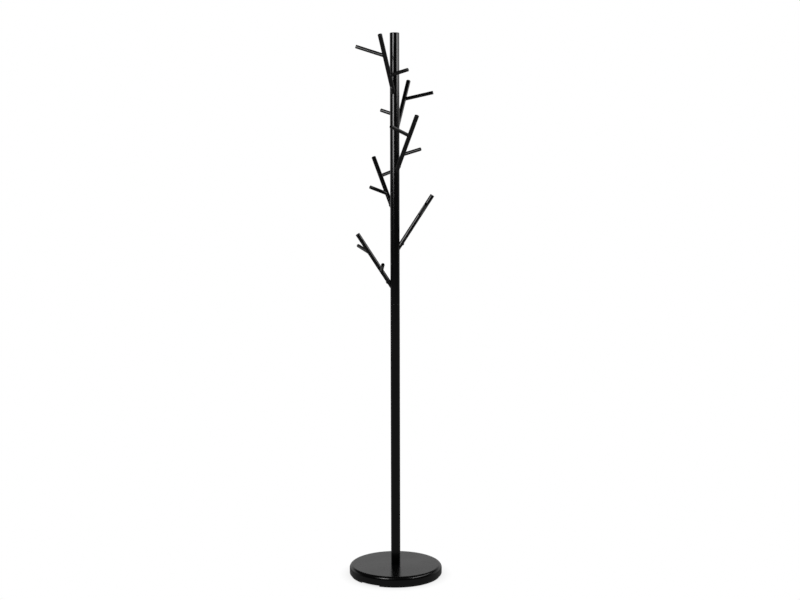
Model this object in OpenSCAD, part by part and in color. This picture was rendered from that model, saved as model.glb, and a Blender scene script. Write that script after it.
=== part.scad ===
// Standing coat rack: a weighted disc base, a round pole in two screwed
// sections, and six forked branches that spiral up the upper section.
// Origin: centre of the footprint on the floor. +Z is up, -Y is the front.

/* [Base] */
// Diameter of the base disc
base_d = 320; // [260:2:400]
// Height of the disc, without its feet
base_h = 32; // [28:1:44]
// Radius of the rounded top edge
base_edge_r = 12; // [6:1:16]
// Radius of the bottom edge, where the cover's sheet is rolled in
base_hem_r = 4; // [2.5:0.5:6]
// Sheet thickness of the pressed cover
cover_t = 1.2; // [0.8:0.1:2]
// Thickness of the plate that closes the underside
bottom_plate_t = 1.5; // [1:0.1:3]
// Gap between the cover's sheet and what lies inside it
ballast_gap = 0.5; // [0.3:0.1:1.5]
// Number of rubber feet, which are curved strips along the rim
foot_count = 3; // [2:1:6]
// Angle of the gap between two feet
foot_gap_arc = 28; // [10:1:40]
// Direction of the middle of the first foot, from the front towards +X
foot_turn = 25; // [-60:1:60]
// Width of a foot
foot_w = 14; // [8:1:24]
// Height of a foot below the bottom plate
foot_h = 4; // [3:0.5:8]
// Distance from the disc's rim to the outer edge of a foot
foot_inset = 4.5; // [3:0.5:12]

/* [Base bolt] */
// Thread diameter of the bolt that holds the pole to the base
bolt_d = 10; // [8:1:12]
// Length of the bolt under its head
bolt_len = 45; // [40:1:52]
// Width across the flats of the bolt head
bolt_af = 16; // [13:1:19]
// Height of the bolt head
bolt_head_h = 6.4; // [5:0.1:8]
// Diameter of the large washer
washer_d = 38; // [30:1:44]
// Thickness of the large washer
washer_t = 2; // [1.5:0.1:3]
// Outside diameter of the spring washer
lock_washer_d = 18; // [16:1:22]
// Thickness of the spring washer
lock_washer_t = 2.5; // [2:0.1:3]
// Diameter of the pocket in the ballast for the bolt head
pocket_d = 44; // [40:1:60]
// Depth of ballast left between the washer and the cover
clamp_t = 14; // [12:1:18]

/* [Pole] */
// Outside diameter of the pole tube
pole_d = 32; // [28:1:40]
// Wall of the pole tube
pole_wall = 1.5; // [1.2:0.1:2.5]
// Length of each of the two sections
section_len = 906; // [800:1:1100]
// Bevel on the section ends that meet
joint_bevel = 0.8; // [0.4:0.1:1]
// Depth of the threaded blocks welded inside the tube ends
block_len = 34; // [28:1:50]
// Thread diameter of the stud between the sections
stud_d = 14; // [10:1:18]
// Length of the stud that reaches into the lower section
stud_len = 28; // [20:1:32]
// Height of the top cap above the tube
cap_h = 2; // [1.5:0.5:5]
// Length of the cap's stem inside the tube
cap_stem = 14; // [10:1:24]
// Clearance around the cap's stem
cap_gap = 0.15; // [0.1:0.05:0.4]

/* [Branches] */
// Number of branches
branch_count = 6; // [4:1:6]
// Distance from the top of the pole down to the highest rod
top_margin = 188; // [160:1:240]
// Distance from the pole's joint up to the lowest rod
low_margin = 68; // [60:1:100]
// Direction of the top branch, from the front towards +X
top_branch_dir = -22; // [-45:1:45]
// Turn from one opposed pair of branches to the next
pair_turn = 57; // [30:1:60]
// Angle between a rod and the pole
branch_tilt = 33; // [28:1:45]
// Outside diameter of the main rod, a tube
rod_d = 15; // [13:0.5:18]
// Wall of the main rod
rod_wall = 1.5; // [1:0.1:2]
// Length of the rod's centre line outside the pole
rod_len = 204; // [170:1:240]
// Gap between the mitred foot of a rod and the pole
rod_foot_gap = 0.2; // [0.1:0.05:0.5]
// Diameter of a twig, a solid bar
twig_d = 12; // [8:1:13]
// Place of the upper twig along the rod, from the pole's surface
upper_twig_at = 127; // [110:1:150]
// Place of the lower twig along the rod, from the pole's surface
lower_twig_at = 55; // [45:1:75]
// Length of the upper twig from the rod's centre line
upper_twig_len = 102; // [70:1:120]
// Length of the lower twig from the rod's centre line
lower_twig_len = 73; // [50:1:100]
// Angle between the rod and the upper twig
upper_twig_angle = 68; // [55:1:90]
// Angle between the rod and the lower twig
lower_twig_angle = 75; // [55:1:90]
// How far the twigs of each branch are turned round their rod, top branch first
twig_turn = [0, 11, 5, 10, -4, 13];
// Chamfer on the free end of a twig
end_chamfer = 0.6; // [0.2:0.1:1]
// Height of the plug's head that closes a rod
plug_head_h = 1.5; // [1:0.5:3]
// Length of the plug's stem inside a rod
plug_stem = 10; // [8:1:16]

/* [Branch fixing] */
// Length of a peg outside the pole, along its centre line
peg_len = 26; // [22:1:36]
// Clearance between a peg and the rod that slips over it
peg_gap = 0.1; // [0.05:0.05:0.2]
// Place of the fixing screw along the rod, from the pole's surface
screw_at = 11; // [9:1:16]
// Thread diameter of the fixing screw
screw_d = 5; // [4:1:6]
// Length of the fixing screw under its head
screw_len = 8; // [6:1:9]
// Diameter of the button head
screw_head_d = 9; // [7.5:0.5:10]
// Height of the button head
screw_head_h = 2.2; // [1.5:0.1:3]
// Width across the flats of the hexagon socket
screw_socket_af = 3; // [2:0.5:4]
// Clearance round the screw in the wall of the rod
screw_gap = 0.25; // [0.15:0.05:0.4]

/* [Hidden] */
$fn = 96;
// Clearance of a simplified thread in its hole, on the radius
thread_gap = 0.1;
// How far a cutter runs past the face that it opens
over = 1;

pole_r = pole_d / 2;
bore_r = pole_r - pole_wall;
base_r = base_d / 2;
base_top = foot_h + base_h;
ballast_r = base_r - cover_t - ballast_gap;
// Radius of what fits through the opening inside the rolled edge
mouth_r = base_r - base_hem_r - ballast_gap;
ballast_bottom = foot_h + bottom_plate_t;
// Height at which the ballast widens above the rolled edge
ballast_shoulder_z = max(ballast_bottom, foot_h + cover_t + ballast_gap);
ballast_hem_r = max(base_hem_r - cover_t - ballast_gap, 0.5);
ballast_top = base_top - cover_t;
ballast_edge_r = max(base_edge_r - cover_t - ballast_gap, 1);
clamp_z = ballast_top - clamp_t;
bolt_head_top = clamp_z - washer_t - lock_washer_t;
joint_z = base_top + section_len;
pole_top = joint_z + section_len;
foot_outer_r = base_r - foot_inset;
// Angle that one foot spans
foot_arc = 360 / foot_count - foot_gap_arc;
// Bevel on the lower edges of a foot
foot_bevel = 1;

rod_r = rod_d / 2;
rod_bore_r = rod_r - rod_wall;
peg_r = rod_bore_r - peg_gap;
// Stretch of a rod's centre line that lies inside the pole
buried_len = pole_r / sin(branch_tilt);
// How far a peg reaches in through the wall of the pole
peg_inside = (pole_wall + pole_r - sqrt(pow(pole_r, 2) - pow(peg_r, 2)) + peg_r * cos(branch_tilt))
    / sin(branch_tilt) + 1;

BRANCHES = [for (i = [0 : branch_count - 1]) i];

// Branches are numbered from the top: height of rod i at the pole's surface
function branch_height(i) =
    pole_top - top_margin - i * (section_len - top_margin - low_margin) / (branch_count - 1);
// Opposed pairs, each turned on from the pair above
function branch_dir(i) = top_branch_dir + floor(i / 2) * pair_turn + (i % 2) * 180;

// ---------- shared shapes ----------

// Half profile of a disc that stands on z = 0, with a rounded top edge and,
// if hem is more than 0, a rounded bottom edge
module disc_profile(r, h, edge, hem = 0) {
    square([r - edge, h]);
    square([r - hem, h - edge]);
    translate([0, hem])
        square([r, h - edge - hem]);
    translate([r - edge, h - edge])
        intersection() {
            circle(r = edge);
            square(edge);
        }
    if (hem > 0)
        translate([r - hem, hem])
            intersection() {
                circle(r = hem);
                translate([0, -hem])
                    square(hem);
            }
}

// Straight tube with bevels on the outside of its ends
module pole_tube(len, bevel_bottom, bevel_top) {
    rotate_extrude()
        difference() {
            translate([bore_r, 0])
                square([pole_wall, len]);
            if (bevel_bottom > 0)
                translate([pole_r, 0])
                    rotate(45)
                        square(bevel_bottom * sqrt(2), center = true);
            if (bevel_top > 0)
                translate([pole_r, len])
                    rotate(45)
                        square(bevel_top * sqrt(2), center = true);
        }
}

// Round bar along +Z with a small chamfer on its far end
module chamfered_bar(r, len) {
    rotate_extrude()
        difference() {
            square([r, len]);
            translate([r, len])
                rotate(45)
                    square(end_chamfer * sqrt(2), center = true);
        }
}

// Frame of branch i at the pole's surface: +X points outwards, Z is up
module at_branch(i) {
    translate([0, 0, branch_height(i)])
        rotate([0, 0, branch_dir(i) - 90])
            children();
}

// Frame of the rod of branch i: origin on the pole's axis, +Z along the rod
module along_rod(i) {
    at_branch(i)
        translate([0, 0, -pole_r / tan(branch_tilt)])
            rotate([0, branch_tilt, 0])
                children();
}

// Frame of a fixing screw: origin on the rod's underside, +Z inwards
module at_screw(i) {
    along_rod(i)
        translate([rod_r + thread_gap, 0, buried_len + screw_at])
            rotate([0, -90, 0])
                children();
}

// Solid round peg of branch i, through the pole's wall
module peg_bar(i) {
    along_rod(i)
        translate([0, 0, buried_len - peg_inside])
            cylinder(r = peg_r, h = peg_inside + peg_len);
}

// ---------- base ----------

module base_cover() {
    color([0.10, 0.10, 0.11])
        difference() {
            translate([0, 0, foot_h])
                rotate_extrude($fn = 180)
                    difference() {
                        disc_profile(base_r, base_h, base_edge_r, base_hem_r);
                        translate([0, cover_t])
                            disc_profile(base_r - cover_t, base_h - 2 * cover_t,
                                base_edge_r - cover_t, base_hem_r - cover_t);
                        translate([0, -over])
                            square([base_r - base_hem_r, over + 2 * cover_t]);
                    }
            translate([0, 0, ballast_top - over])
                cylinder(d = bolt_d + 1, h = cover_t + 2 * over);
        }
}

module ballast_disc() {
    color([0.55, 0.54, 0.52])
        difference() {
            rotate_extrude($fn = 180) {
                translate([0, ballast_shoulder_z])
                    disc_profile(ballast_r, ballast_top - ballast_shoulder_z, ballast_edge_r, ballast_hem_r);
                translate([0, ballast_bottom])
                    square([mouth_r, ballast_shoulder_z - ballast_bottom + ballast_hem_r]);
            }
            cylinder(d = bolt_d + 2, h = base_top);
            translate([0, 0, ballast_bottom - over])
                cylinder(d = pocket_d, h = clamp_z - ballast_bottom + over);
        }
}

module bottom_plate() {
    color([0.16, 0.16, 0.17])
        translate([0, 0, foot_h])
            difference() {
                cylinder(r = mouth_r, h = bottom_plate_t, $fn = 180);
                translate([0, 0, -over])
                    cylinder(d = pocket_d, h = bottom_plate_t + 2 * over);
            }
}

module rubber_feet() {
    color([0.06, 0.06, 0.06])
        for (k = [0 : foot_count - 1])
            rotate([0, 0, k * 360 / foot_count + foot_turn - 90 - foot_arc / 2])
                rotate_extrude(angle = foot_arc, $fn = 180)
                    translate([foot_outer_r - foot_w, 0])
                        polygon([[0, foot_h], [0, foot_bevel], [foot_bevel, 0],
                            [foot_w - foot_bevel, 0], [foot_w, foot_bevel], [foot_w, foot_h]]);
}

module base_bolt() {
    color([0.62, 0.62, 0.64])
        translate([0, 0, bolt_head_top - bolt_head_h]) {
            cylinder(d = bolt_af / cos(30), h = bolt_head_h, $fn = 6);
            cylinder(d = bolt_d, h = bolt_head_h + bolt_len);
        }
}

// Flat ring whose upper face is at z = 0
module ring_washer(outer_d, t) {
    translate([0, 0, -t])
        difference() {
            cylinder(d = outer_d, h = t);
            translate([0, 0, -over])
                cylinder(d = bolt_d + 0.6, h = t + 2 * over);
        }
}

module base_washer() {
    color([0.70, 0.70, 0.72])
        translate([0, 0, clamp_z])
            ring_washer(washer_d, washer_t);
}

module lock_washer() {
    color([0.58, 0.58, 0.60])
        translate([0, 0, clamp_z - washer_t])
            difference() {
                ring_washer(lock_washer_d, lock_washer_t);
                // the slanted split of a spring washer
                translate([(bolt_d + lock_washer_d) / 4, 0, -lock_washer_t / 2])
                    rotate([20, 0, 0])
                        cube([lock_washer_d / 2, 1.2, 3 * lock_washer_t], center = true);
            }
}

// ---------- pole ----------

module lower_pole() {
    color([0.05, 0.05, 0.055])
        translate([0, 0, base_top])
            pole_tube(section_len, 0, joint_bevel);
}

module foot_block() {
    color([0.50, 0.50, 0.52])
        translate([0, 0, base_top])
            difference() {
                cylinder(r = bore_r, h = block_len);
                translate([0, 0, -over])
                    cylinder(d = bolt_d + 2 * thread_gap, h = block_len + 2 * over);
            }
}

module joint_socket() {
    color([0.50, 0.50, 0.52])
        translate([0, 0, joint_z - block_len])
            difference() {
                cylinder(r = bore_r, h = block_len);
                translate([0, 0, -over])
                    cylinder(d = stud_d + 2 * thread_gap, h = block_len + 2 * over);
            }
}

module joint_spigot() {
    color([0.50, 0.50, 0.52])
        translate([0, 0, joint_z]) {
            cylinder(r = bore_r, h = block_len);
            translate([0, 0, -stud_len])
                cylinder(d1 = stud_d - 3, d2 = stud_d, h = 2);
            translate([0, 0, 2 - stud_len])
                cylinder(d = stud_d, h = stud_len - 2 + over);
        }
}

module upper_pole() {
    color([0.05, 0.05, 0.055])
        difference() {
            translate([0, 0, joint_z])
                pole_tube(section_len, joint_bevel, 0);
            for (i = BRANCHES)
                peg_bar(i);
        }
}

module top_cap() {
    edge = min(cap_h * 0.75, 1.5);
    color([0.08, 0.08, 0.085])
        translate([0, 0, pole_top])
            difference() {
                union() {
                    rotate_extrude()
                        disc_profile(pole_r, cap_h, edge);
                    translate([0, 0, -cap_stem])
                        cylinder(r = bore_r - cap_gap, h = cap_stem + edge / 2);
                }
                translate([0, 0, -cap_stem - over])
                    cylinder(r = bore_r - cap_gap - 1.8, h = cap_stem + over);
            }
}

// ---------- branches ----------

module branch_pegs() {
    color([0.50, 0.50, 0.52])
        for (i = BRANCHES)
            difference() {
                peg_bar(i);
                at_screw(i)
                    cylinder(d = screw_d + 2 * thread_gap, h = screw_len + 1);
            }
}

module branch_rod(i) {
    color([0.07, 0.07, 0.075])
        difference() {
            along_rod(i)
                cylinder(r = rod_r, h = buried_len + rod_len - plug_head_h);
            along_rod(i)
                translate([0, 0, -over])
                    cylinder(r = rod_bore_r, h = buried_len + rod_len + over);
            translate([0, 0, branch_height(i) - 6 * rod_d])
                cylinder(r = pole_r + rod_foot_gap, h = 8 * rod_d);
            at_screw(i)
                cylinder(d = screw_d + 2 * screw_gap, h = rod_r);
        }
}

// A bar that leaves the rod of branch i at a given place, angle and side
module twig(i, at, len, angle, side) {
    color([0.07, 0.07, 0.075])
        along_rod(i)
            rotate([0, 0, twig_turn[i]])
                difference() {
                    translate([0, 0, buried_len + at])
                        rotate([side * angle, 0, 0])
                            chamfered_bar(twig_d / 2, len);
                    cylinder(r = rod_r, h = buried_len + rod_len);
                }
}

module upper_twig(i) {
    twig(i, upper_twig_at, upper_twig_len, upper_twig_angle, 1);
}

module lower_twig(i) {
    twig(i, lower_twig_at, lower_twig_len, lower_twig_angle, -1);
}

module rod_plugs() {
    color([0.08, 0.08, 0.085])
        for (i = BRANCHES)
            along_rod(i)
                translate([0, 0, buried_len + rod_len - plug_head_h]) {
                    rotate_extrude()
                        disc_profile(rod_r, plug_head_h, plug_head_h * 0.6);
                    translate([0, 0, -plug_stem])
                        cylinder(r = rod_bore_r - peg_gap, h = plug_stem + plug_head_h / 2);
                }
}

module fixing_screws() {
    color([0.12, 0.12, 0.13])
        for (i = BRANCHES)
            at_screw(i)
                difference() {
                    union() {
                        cylinder(d = screw_d, h = screw_len);
                        translate([0, 0, -screw_head_h])
                            cylinder(d1 = 0.6 * screw_head_d, d2 = screw_head_d, h = screw_head_h);
                    }
                    translate([0, 0, -screw_head_h - over])
                        cylinder(d = screw_socket_af / cos(30), h = over + 0.6 * screw_head_h, $fn = 6);
                }
}

// ---------- what each node draws ----------

base_cover();
ballast_disc();
bottom_plate();
rubber_feet();
base_bolt();
base_washer();
lock_washer();
lower_pole();
foot_block();
joint_socket();
upper_pole();
joint_spigot();
top_cap();
branch_pegs();
fixing_screws();
rod_plugs();
for (i = BRANCHES) {
    branch_rod(i);
    upper_twig(i);
    lower_twig(i);
}
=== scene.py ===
# %% [markdown]
# # A standing coat rack
# The real rack is bought in a flat box: a heavy round foot, a pole in two
# lengths, and six forked branches of black painted rod. This lesson builds its
# looks in Blender around a CAD model that already fixes every size. We load
# that model, measure it, and remake each visible part with the soft edges,
# weld seams and paint that make it look like metal and not like a diagram.
#
# The frame holds each part as a mesh in metres, with its place in its points.
# Nothing in it may be moved, so every number below is measured from it.

# %% Load the frame
import math

import bmesh
import bpy
import numpy as np
from mathutils import Matrix, Vector


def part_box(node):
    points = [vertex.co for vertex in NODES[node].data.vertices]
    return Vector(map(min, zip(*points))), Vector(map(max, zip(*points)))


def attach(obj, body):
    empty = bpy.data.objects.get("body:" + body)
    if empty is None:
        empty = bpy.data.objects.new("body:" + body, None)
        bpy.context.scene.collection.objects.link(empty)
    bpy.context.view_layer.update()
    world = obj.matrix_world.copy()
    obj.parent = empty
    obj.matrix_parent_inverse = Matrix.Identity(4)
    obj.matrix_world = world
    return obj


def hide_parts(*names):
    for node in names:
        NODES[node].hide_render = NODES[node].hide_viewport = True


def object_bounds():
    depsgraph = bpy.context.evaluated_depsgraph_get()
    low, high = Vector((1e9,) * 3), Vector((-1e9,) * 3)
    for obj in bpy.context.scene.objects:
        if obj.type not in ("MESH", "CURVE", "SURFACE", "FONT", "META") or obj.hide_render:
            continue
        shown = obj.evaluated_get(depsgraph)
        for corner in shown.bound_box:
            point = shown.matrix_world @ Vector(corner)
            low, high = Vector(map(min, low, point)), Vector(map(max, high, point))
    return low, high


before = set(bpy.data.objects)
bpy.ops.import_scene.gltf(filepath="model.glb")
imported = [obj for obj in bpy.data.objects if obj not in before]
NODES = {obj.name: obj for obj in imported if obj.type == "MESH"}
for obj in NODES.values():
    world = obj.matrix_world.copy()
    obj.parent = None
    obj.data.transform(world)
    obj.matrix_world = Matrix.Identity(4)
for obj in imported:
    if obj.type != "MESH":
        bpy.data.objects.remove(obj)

CAD_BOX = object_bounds()
MM = 0.001
SCENE = bpy.context.scene

low, high = CAD_BOX
print(f"{len(NODES)} parts, {high.x - low.x:.3f} x {high.y - low.y:.3f} x {high.z - low.z:.3f} m")

# %% [markdown]
# ## Camera
# A rack this tall is shot from a few metres away with a long lens, so that the
# pole stays straight and the disc doesn't bulge. The camera stands at chest
# height and tips down a little, which shows the top of the disc. A lens shift
# would frame it without tipping, but then the disc would look flatter.

# %% Set up the camera
camera_data = bpy.data.cameras.new("studio_camera")
camera = bpy.data.objects.new("studio_camera", camera_data)
SCENE.collection.objects.link(camera)
SCENE.camera = camera

camera_data.sensor_width = 36
camera_data.lens = 56.61
camera_data.shift_x = 0.0070
camera_data.shift_y = 0.0155
CAMERA_TILT = 5.806
CAMERA_ROLL = -0.139
camera.location = (-0.0025, -4.2645, 1.3471)
camera.rotation_euler = (
    Matrix.Rotation(math.radians(90 - CAMERA_TILT), 3, "X")
    @ Matrix.Rotation(math.radians(CAMERA_ROLL), 3, "Z")
).to_euler()
SCENE.view_settings.view_transform = "Standard"
print(f"camera {-camera.location.y:.2f} m in front, lens {camera_data.lens:.0f} mm")

# %% [markdown]
# ## Studio
# Black gloss paint has almost no colour of its own: what we see is the room in
# it. A product studio puts such a thing in a dark room with a white screen
# behind it and a few soft boxes. The world shader below does the same with no
# walls to get in the way: its light depends on the direction only. It is bright
# low down behind the rack and dim elsewhere, and the camera sees plain white.

# %% Paint the room with the world shader
world = bpy.data.worlds.new("studio_room")
SCENE.world = world
world.use_nodes = True


def add_node(tree, kind, **settings):
    """A new node, with its properties and then its unlinked inputs set by name."""
    made = tree.nodes.new(kind)
    for name, value in settings.items():
        if hasattr(made, name):
            setattr(made, name, value)
        else:
            made.inputs[name.replace("_", " ")].default_value = value
    return made


room = world.node_tree
room.nodes.clear()
room_out = add_node(room, "ShaderNodeOutputWorld")
room_direction = add_node(room, "ShaderNodeTexCoord")
room_axes = add_node(room, "ShaderNodeSeparateXYZ")
room_depth = add_node(
    room, "ShaderNodeMapRange", interpolation_type="SMOOTHSTEP",
    From_Min=-0.1, From_Max=0.75, To_Min=0.0, To_Max=1.0,
)
screen_top = add_node(
    room, "ShaderNodeMapRange", interpolation_type="SMOOTHSTEP",
    From_Min=0.36, From_Max=0.50, To_Min=0.66, To_Max=0.02,
)
room_glow = add_node(room, "ShaderNodeMath", operation="MULTIPLY_ADD")
room_glow.inputs[2].default_value = 0.02
room_light = add_node(room, "ShaderNodeBackground")
room_paper = add_node(room, "ShaderNodeBackground", Color=(1, 1, 1, 1))
room_path = add_node(room, "ShaderNodeLightPath")
room_mix = add_node(room, "ShaderNodeMixShader")
room.links.new(room_direction.outputs["Generated"], room_axes.inputs[0])
room.links.new(room_axes.outputs["Y"], room_depth.inputs["Value"])
room.links.new(room_axes.outputs["Z"], screen_top.inputs["Value"])
room.links.new(room_depth.outputs["Result"], room_glow.inputs[0])
room.links.new(screen_top.outputs["Result"], room_glow.inputs[1])
room.links.new(room_glow.outputs[0], room_light.inputs["Strength"])
room.links.new(room_path.outputs["Is Camera Ray"], room_mix.inputs["Fac"])
room.links.new(room_light.outputs[0], room_mix.inputs[1])
room.links.new(room_paper.outputs[0], room_mix.inputs[2])
room.links.new(room_mix.outputs[0], room_out.inputs["Surface"])
print("room: a low bright screen behind, dim elsewhere, white to the camera")

# %% [markdown]
# ## Lamps
# A soft box on the left draws the bright line down the pole, and two on the
# right draw the softer band beside it. All three hang high and upright, so the
# lines fade out half way down the pole. A lamp's power is worked out from how
# bright its face should look, since that is what a glossy surface shows.

# %% Hang the soft boxes
def soft_box(name, azimuth, distance, bottom, width, height, brightness):
    """An upright area lamp that faces the pole; azimuth runs from the front to the right."""
    lamp_data = bpy.data.lights.new(name, "AREA")
    lamp_data.shape = "RECTANGLE"
    lamp_data.size, lamp_data.size_y = width, height
    lamp_data.energy = brightness * math.pi * width * height
    lamp = bpy.data.objects.new(name, lamp_data)
    SCENE.collection.objects.link(lamp)
    turn = math.radians(azimuth)
    lamp.location = (distance * math.sin(turn), -distance * math.cos(turn), bottom + height / 2)
    lamp.rotation_euler = (math.radians(90), 0, turn)
    lamp.visible_camera = False
    print(f"{name}: {lamp_data.energy:.0f} W at {azimuth} degrees")


soft_box("key_box", azimuth=-35, distance=1.65, bottom=1.42, width=0.72, height=1.08, brightness=8.0)
soft_box("side_box", azimuth=66, distance=2.0, bottom=1.80, width=1.05, height=1.0, brightness=4.8)
soft_box("far_box", azimuth=98, distance=2.2, bottom=1.80, width=1.35, height=1.0, brightness=1.8)

# %% [markdown]
# ## Floor
# The floor is a plain pale sheet. It is a wide disc with no edge near the rack,
# so no line crosses the picture. It belongs to the studio and not to the rack.
# A real studio lights white paper until it is blank, and keeps that light off
# the thing on it. Here the paper simply glows white to the camera and stays
# dim to everything else, and a painted shadow dims its glow a little in the
# crease under the disc, where the rack is near.

# %% Lay the floor
FLOOR_RADIUS = 12
floor_mesh = bpy.data.meshes.new("floor")
floor_build = bmesh.new()
bmesh.ops.create_circle(floor_build, cap_ends=True, radius=FLOOR_RADIUS, segments=96)
floor_build.to_mesh(floor_mesh)
floor_build.free()
floor = bpy.data.objects.new("floor", floor_mesh)
SCENE.collection.objects.link(floor)

floor_paper = bpy.data.materials.new("floor_paper")
floor_paper.use_nodes = True
paper = floor_paper.node_tree
paper.nodes.clear()
paper_out = add_node(paper, "ShaderNodeOutputMaterial")
# Painted shadow: ambient occlusion dims the paper's white glow where the rack is near, in the crease under
# the disc.
painted_crease_shadow = add_node(paper, "ShaderNodeAmbientOcclusion", Distance=0.04)
paper_painted_shade = add_node(paper, "ShaderNodeMapRange", To_Min=0.72, To_Max=1.0)
paper_white = add_node(paper, "ShaderNodeEmission")
paper_dim = add_node(paper, "ShaderNodeEmission", Strength=0.16)
paper_path = add_node(paper, "ShaderNodeLightPath")
paper_mix = add_node(paper, "ShaderNodeMixShader")
paper.links.new(painted_crease_shadow.outputs["AO"], paper_painted_shade.inputs["Value"])
paper.links.new(paper_painted_shade.outputs["Result"], paper_white.inputs["Strength"])
paper.links.new(paper_path.outputs["Is Camera Ray"], paper_mix.inputs["Fac"])
paper.links.new(paper_dim.outputs[0], paper_mix.inputs[1])
paper.links.new(paper_white.outputs[0], paper_mix.inputs[2])
paper.links.new(paper_mix.outputs[0], paper_out.inputs["Surface"])
floor_mesh.materials.append(floor_paper)
print(f"floor: {2 * FLOOR_RADIUS} m across")

# %% Helpers for building trees
def new_tree(name, inputs, outputs):
    """A Geometry Nodes tree with named sockets; each is (name, kind)."""
    tree = bpy.data.node_groups.new(name, "GeometryNodeTree")
    for label, kind in inputs:
        tree.interface.new_socket(name=label, in_out="INPUT", socket_type=kind)
    for label, kind in outputs:
        tree.interface.new_socket(name=label, in_out="OUTPUT", socket_type=kind)
    return tree, tree.nodes.new("NodeGroupInput"), tree.nodes.new("NodeGroupOutput")


def feed(tree, node, **values):
    """Links a socket, or sets a plain value, on the inputs named."""
    for name, value in values.items():
        socket = node.inputs[name.replace("_", " ")]
        if isinstance(value, bpy.types.NodeSocket):
            tree.links.new(value, socket)
        else:
            socket.default_value = value
    return node


def calc(tree, operation, *values):
    """One step of arithmetic on sockets or plain numbers."""
    node = tree.nodes.new("ShaderNodeMath")
    node.operation = operation
    for socket, value in zip(node.inputs, values):
        if isinstance(value, bpy.types.NodeSocket):
            tree.links.new(value, socket)
        else:
            socket.default_value = value
    return node.outputs[0]


# %% [markdown]
# ## Surface effects shared by the finishes
# Sprayed or powdered paint isn't a mirror: it dries with a faint ripple, like
# the skin of an orange, its gloss wanders a little, and dust settles on what
# faces up. Handling leaves hairline rubs. More than one finish here needs each
# of these, so each is a shader node group, built once and tuned by its inputs.
# They read Object coordinates, in metres, so a pattern keeps its real size.

# %% Helpers for building shaders
def new_group(name, inputs, outputs):
    """A shader node group; each input is (name, kind, default)."""
    group = bpy.data.node_groups.new(name, "ShaderNodeTree")
    for label, kind, default in inputs:
        group.interface.new_socket(name=label, in_out="INPUT", socket_type=kind).default_value = default
    for label, kind in outputs:
        group.interface.new_socket(name=label, in_out="OUTPUT", socket_type=kind)
    return group, group.nodes.new("NodeGroupInput").outputs, group.nodes.new("NodeGroupOutput").inputs


def own_place(tree):
    """The Object coordinates, in metres."""
    return tree.nodes.new("ShaderNodeTexCoord").outputs["Object"]


def effect(tree, group, **values):
    """Puts a shared shader group in a tree, with the inputs named."""
    node = tree.nodes.new("ShaderNodeGroup")
    node.node_tree = group
    return feed(tree, node, **values)


def noise(tree, scale, detail=2.0, vector=None):
    """Soft noise on Object coordinates, or on the vector given."""
    node = tree.nodes.new("ShaderNodeTexNoise")
    feed(tree, node, Vector=vector or own_place(tree), Scale=scale, Detail=detail)
    return node.outputs["Fac"]


def blend(tree, share, first, second):
    """A colour between two others."""
    node = tree.nodes.new("ShaderNodeMix")
    node.data_type = "RGBA"
    for socket, value in ((node.inputs[0], share), (node.inputs[6], first), (node.inputs[7], second)):
        if isinstance(value, bpy.types.NodeSocket):
            tree.links.new(value, socket)
        else:
            socket.default_value = value
    return node.outputs[2]


def remap(tree, value, from_low, from_high, to_low, to_high):
    node = tree.nodes.new("ShaderNodeMapRange")
    feed(tree, node, Value=value, From_Min=from_low, From_Max=from_high, To_Min=to_low, To_Max=to_high)
    return node.outputs["Result"]


# %% Paint skin: ripple, wandering gloss and settled dust
paint_skin, p_in, p_out = new_group(
    "paint_skin",
    [("Colour", "NodeSocketColor", (0.02, 0.02, 0.02, 1)), ("Gloss Roughness", "NodeSocketFloat", 0.2),
     ("Roughness Spread", "NodeSocketFloat", 0.05), ("Ripple Scale", "NodeSocketFloat", 350.0),
     ("Dust", "NodeSocketFloat", 0.2), ("Dust Colour", "NodeSocketColor", (0.25, 0.24, 0.22, 1))],
    [("Colour", "NodeSocketColor"), ("Roughness", "NodeSocketFloat"), ("Ripple", "NodeSocketFloat")],
)
broad = remap(paint_skin, noise(paint_skin, 9.0, 3.0), 0.3, 0.7, -1.0, 1.0)
facing = paint_skin.nodes.new("ShaderNodeSeparateXYZ")
paint_skin.links.new(paint_skin.nodes.new("ShaderNodeNewGeometry").outputs["Normal"], facing.inputs[0])
faces_up = remap(paint_skin, facing.outputs["Z"], 0.3, 1.0, 0.0, 1.0)
grains = remap(paint_skin, noise(paint_skin, 1400.0, 1.0), 0.60, 0.78, 0.0, 1.0)
film = remap(paint_skin, noise(paint_skin, 16.0, 4.0), 0.35, 0.75, 0.15, 1.0)
dust = calc(paint_skin, "MULTIPLY", calc(paint_skin, "MULTIPLY", faces_up, p_in["Dust"]), calc(
    paint_skin, "ADD", calc(paint_skin, "MULTIPLY", grains, 0.7), calc(paint_skin, "MULTIPLY", film, 0.3)))
fine = remap(paint_skin, noise(paint_skin, p_in["Ripple Scale"], 2.0), 0.25, 0.75, 0.0, 1.0)
wander = calc(paint_skin, "MULTIPLY", broad, p_in["Roughness Spread"])
rough = calc(paint_skin, "ADD", p_in["Gloss Roughness"], wander)
dusty_rough = calc(paint_skin, "ADD", rough, calc(paint_skin, "MULTIPLY", dust, 0.5))
paint_skin.links.new(blend(paint_skin, dust, p_in["Colour"], p_in["Dust Colour"]), p_out["Colour"])
paint_skin.links.new(dusty_rough, p_out["Roughness"])
paint_skin.links.new(fine, p_out["Ripple"])
print("paint_skin:", len(paint_skin.nodes), "nodes")

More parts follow.
